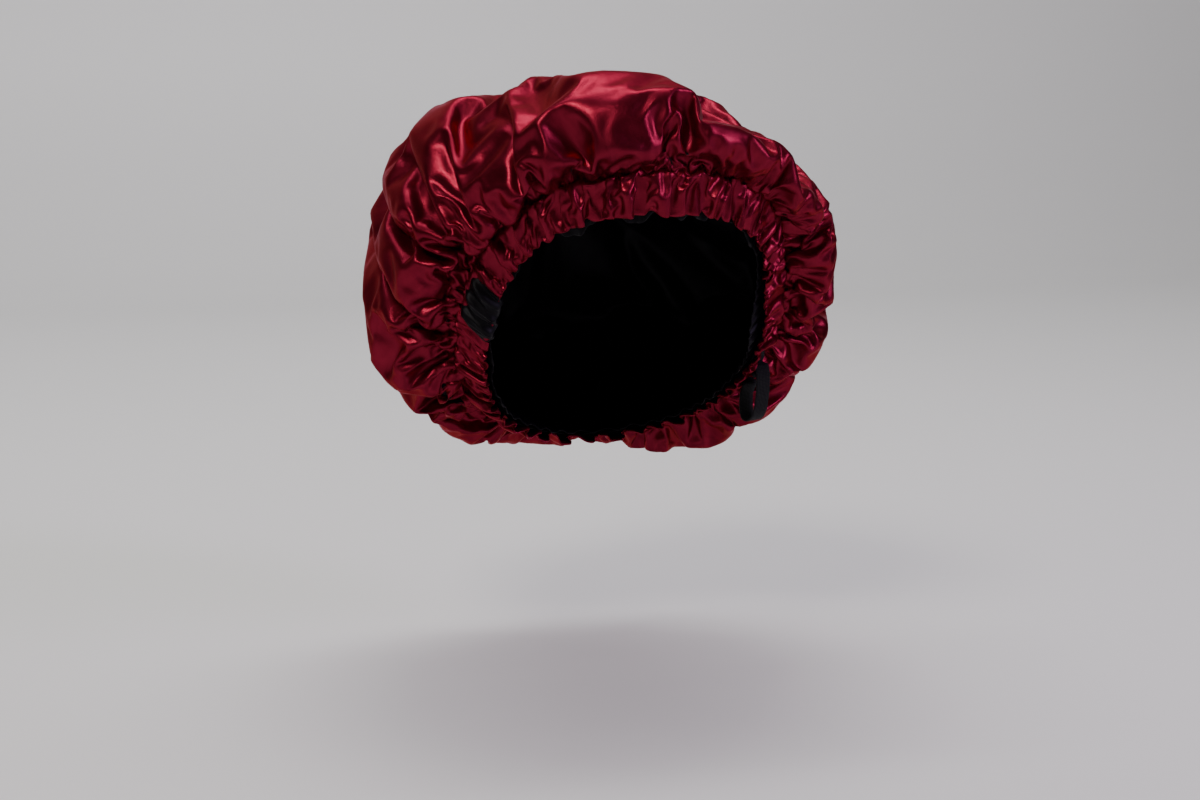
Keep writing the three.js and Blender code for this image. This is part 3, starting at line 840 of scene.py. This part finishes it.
def make_lining(shape, triangles, cut, angle, material):
    """Follow the settled crown just inside it, and go on from its edge as the band."""
    tree = BVHTree.FromPolygons(shape.tolist(), triangles.tolist())
    normals = vertex_normals(shape, triangles)
    gap = np.empty(len(shape))
    for k, (place, normal) in enumerate(zip(shape, normals)):
        inward = Vector(-normal)
        room = tree.ray_cast(Vector(place) + inward * 0.0002, inward, 0.01)[3]
        gap[k] = min(LINING_GAP * MM, 0.4 * (room or 0.01))
    inner = shape - normals * gap[:, None]
    ring = np.arange(len(shape))[ring_row(RINGS)]
    columns, first = len(ring), len(shape)
    band_rows = zip(BAND_TUCKED, BAND_ROLLED)
    rows = [band_point(angle[ring], tucked, rolled) * MM for tucked, rolled in band_rows]
    quads = []
    for k in range(columns):
        after = (k + 1) % columns
        quads.append((ring[k], first + k, first + after, ring[after]))
    quads = np.array(quads + [face[::-1] for face in ring_faces(len(rows), columns, first)])
    band = np.concatenate([quads[:, [0, 1, 2]], quads[:, [0, 2, 3]]])
    spread = [cut[ring] * (1 + 0.01 * (k + 1)) for k in range(len(rows))]
    vertices, finer, uv = subdivide(np.vstack([inner] + rows), np.concatenate([triangles, band]),
                                    np.vstack([cut] + spread))
    return new_object("lining_satin", vertices, finer.tolist(), material, uv)


# ---------------------------------------------------------------------------------------------
# The elastic strap: flat, round inside the channel, and down and up again in the loop
# ---------------------------------------------------------------------------------------------
STRAP_HALF_WIDTH, STRAP_HALF_THICK = 5.4, 0.45
STRAP_OFFSET, STRAP_STATION = 1.1, -0.54
SLOT_FROM, SLOT_TO = 101, 119
LOOP_FACES = np.array([0.52, -0.854, 0.0])
LOOP_SIDEWAYS = 2.4
LOOP = [(3.4, 1.5), (6.2, 0.5), (7.6, -3.5), (7.8, -10), (7.2, -17), (5.8, -24), (3.4, -28), (0.4, -29.2),
        (-2.4, -27.6), (-3.6, -22), (-3.2, -15), (-1.4, -9)]  # forward and rise from the slot, in mm


def strap_path():
    turn = np.arange(SLOT_TO, SLOT_FROM + 360.1, 4.0)
    point, _, along, normal = cloth_frame(turn, STRAP_STATION)
    centres, across = list(point + normal * STRAP_OFFSET), list(along)
    loop_across = unit(np.cross([0.0, 0.0, 1.0], LOOP_FACES))
    middle, _, _, outwards = cloth_frame(np.array([SLOT_TURN]), STRAP_STATION)
    top = (middle + outwards * 1.5)[0] + loop_across * LOOP_SIDEWAYS
    for forward, rise in LOOP:
        centres.append(top + LOOP_FACES * forward + np.array([0, 0, rise]))
        across.append(loop_across)
    return np.array(centres), np.array(across)


def smooth_closed(points, steps):
    """A smooth closed line through the points, with steps places to each."""
    around = [np.roll(points, shift, 0) for shift in (1, 0, -1, -2)]
    return np.stack([smooth(*around, f / steps) for f in range(steps)], 1).reshape(-1, points.shape[1])


# Round the strap's section, in half widths and half thicknesses.
STRAP_SECTION = [
    (-1, 0), (-0.985, 0.7), (-0.93, 1), (-0.5, 0.9), (0, 1), (0.5, 0.9), (0.93, 1), (0.985, 0.7),
    (1, 0), (0.985, -0.7), (0.93, -1), (0.5, -0.9), (0, -1), (-0.5, -0.9), (-0.93, -1), (-0.985, -0.7),
]


def make_strap(material):
    centres, across = strap_path()
    centres, across = smooth_closed(centres, 4), unit(smooth_closed(across, 4))
    ahead = unit(np.roll(centres, -1, 0) - np.roll(centres, 1, 0))
    facing = unit(np.cross(across, ahead))
    sideways = unit(np.cross(ahead, facing))
    count, corners = len(centres), len(STRAP_SECTION)
    vertices = np.stack([centres + sideways * (w * STRAP_HALF_WIDTH) + facing * (t * STRAP_HALF_THICK)
                         for w, t in STRAP_SECTION], 1).reshape(-1, 3)
    faces = []
    for k in range(count):
        low, high = k * corners, (k + 1) % count * corners
        for c in range(corners):
            after = (c + 1) % corners
            faces.append((low + c, low + after, high + after, high + c))
    length = np.concatenate([[0], np.cumsum(np.linalg.norm(np.diff(centres, axis=0), axis=1))])
    uv = [(length[k] * MM, w * STRAP_HALF_WIDTH * MM) for k in range(count) for w, _ in STRAP_SECTION]
    return new_object("strap_elastic", vertices * MM, faces, material, uv)


# ---------------------------------------------------------------------------------------------
# Build
# ---------------------------------------------------------------------------------------------
make_camera()
make_stage()
BURGUNDY = satin_material("satin", (0.14, 0.006, 0.0175), (0.19, 0.010, 0.026),
                          (0.8, 0.2, 0.3), 0.85, 0.34, 0.5, 0.03, (1.0, 0.3, 0.4))
BLACK = satin_material("lining", (0.0035, 0.0032, 0.004), (0.006, 0.0052, 0.0065),
                       (0.45, 0.45, 0.48), 0.2, 0.40, 0.16, 0.0, (0.8, 0.8, 0.9))
ELASTIC = elastic_material()

CROWN_SHAPE, CROWN_TRIANGLES, CUT_PLACES, CUT_TURNS = settled_crown()
crown = make_crown(CROWN_SHAPE, CROWN_TRIANGLES, CUT_PLACES, BURGUNDY)
lining = make_lining(CROWN_SHAPE, CROWN_TRIANGLES, CUT_PLACES, CUT_TURNS, BLACK)
channel = make_channel(BURGUNDY)
strap = make_strap(ELASTIC)
for piece, node, slot in ((crown, "crown", "satin"), (channel, "elastic_channel", "satin"),
                          (lining, "lining", "lining"), (strap, "elastic_strap", "elastic")):
    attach(piece, "root")
    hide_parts(node)
